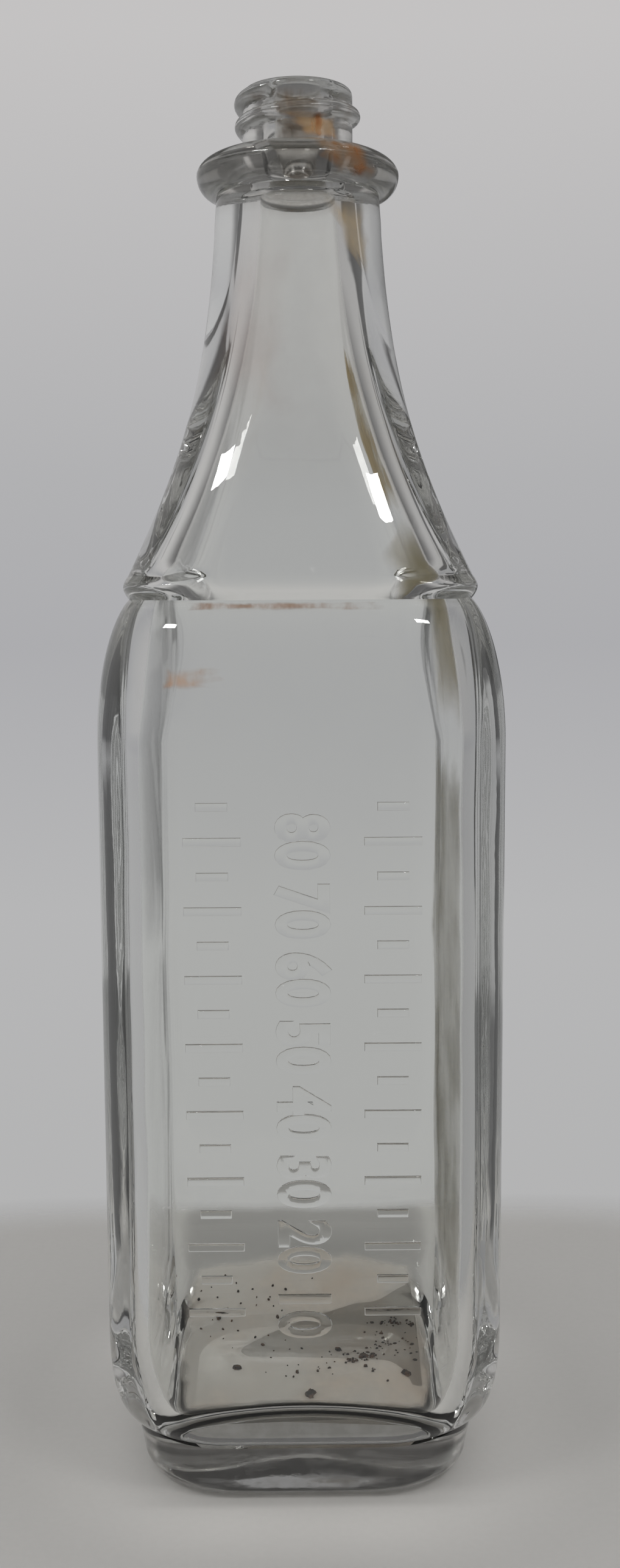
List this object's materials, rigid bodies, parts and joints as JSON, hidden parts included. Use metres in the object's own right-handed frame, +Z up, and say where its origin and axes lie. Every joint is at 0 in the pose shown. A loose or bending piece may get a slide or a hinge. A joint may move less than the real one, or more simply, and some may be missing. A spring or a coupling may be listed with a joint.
{
  "type": "hair tonic bottle",
  "caption": "Empty clear glass bottle with a square body, flared neck, heavy ring and narrow screw finish, with dried tonic inside and out.",
  "frame": {"origin": "centre of the foot, on the plane that the bottle stands on", "axes": "+Z up the bottle to its rim, front panel towards -Y, +X to the right as seen from the front"},
  "size_m": [0.0554, 0.0557, 0.196],
  "materials": {
    "clear_glass": "clear moulded glass, faint grey-olive tint",
    "dried_tonic": "translucent amber film of dried tonic",
    "brown_dribble": "rusty brown dried dribble",
    "dark_flake": "matt dark brown chip"
  },
  "bodies": {
    "root": {"glass_bottle": "clear_glass", "film_body": "dried_tonic", "film_shoulder": "dried_tonic", "film_neck": "dried_tonic", "film_bore": "brown_dribble", "dribble_finish": "brown_dribble", "dribble_ring": "brown_dribble", "dribble_neck": "brown_dribble", "floor_flake_1": "dark_flake", "floor_flake_2": "dark_flake", "floor_flake_3": "dark_flake", "floor_flake_4": "dark_flake", "floor_flake_5": "dark_flake", "floor_flake_6": "dark_flake"}
  },
  "joints": []
}
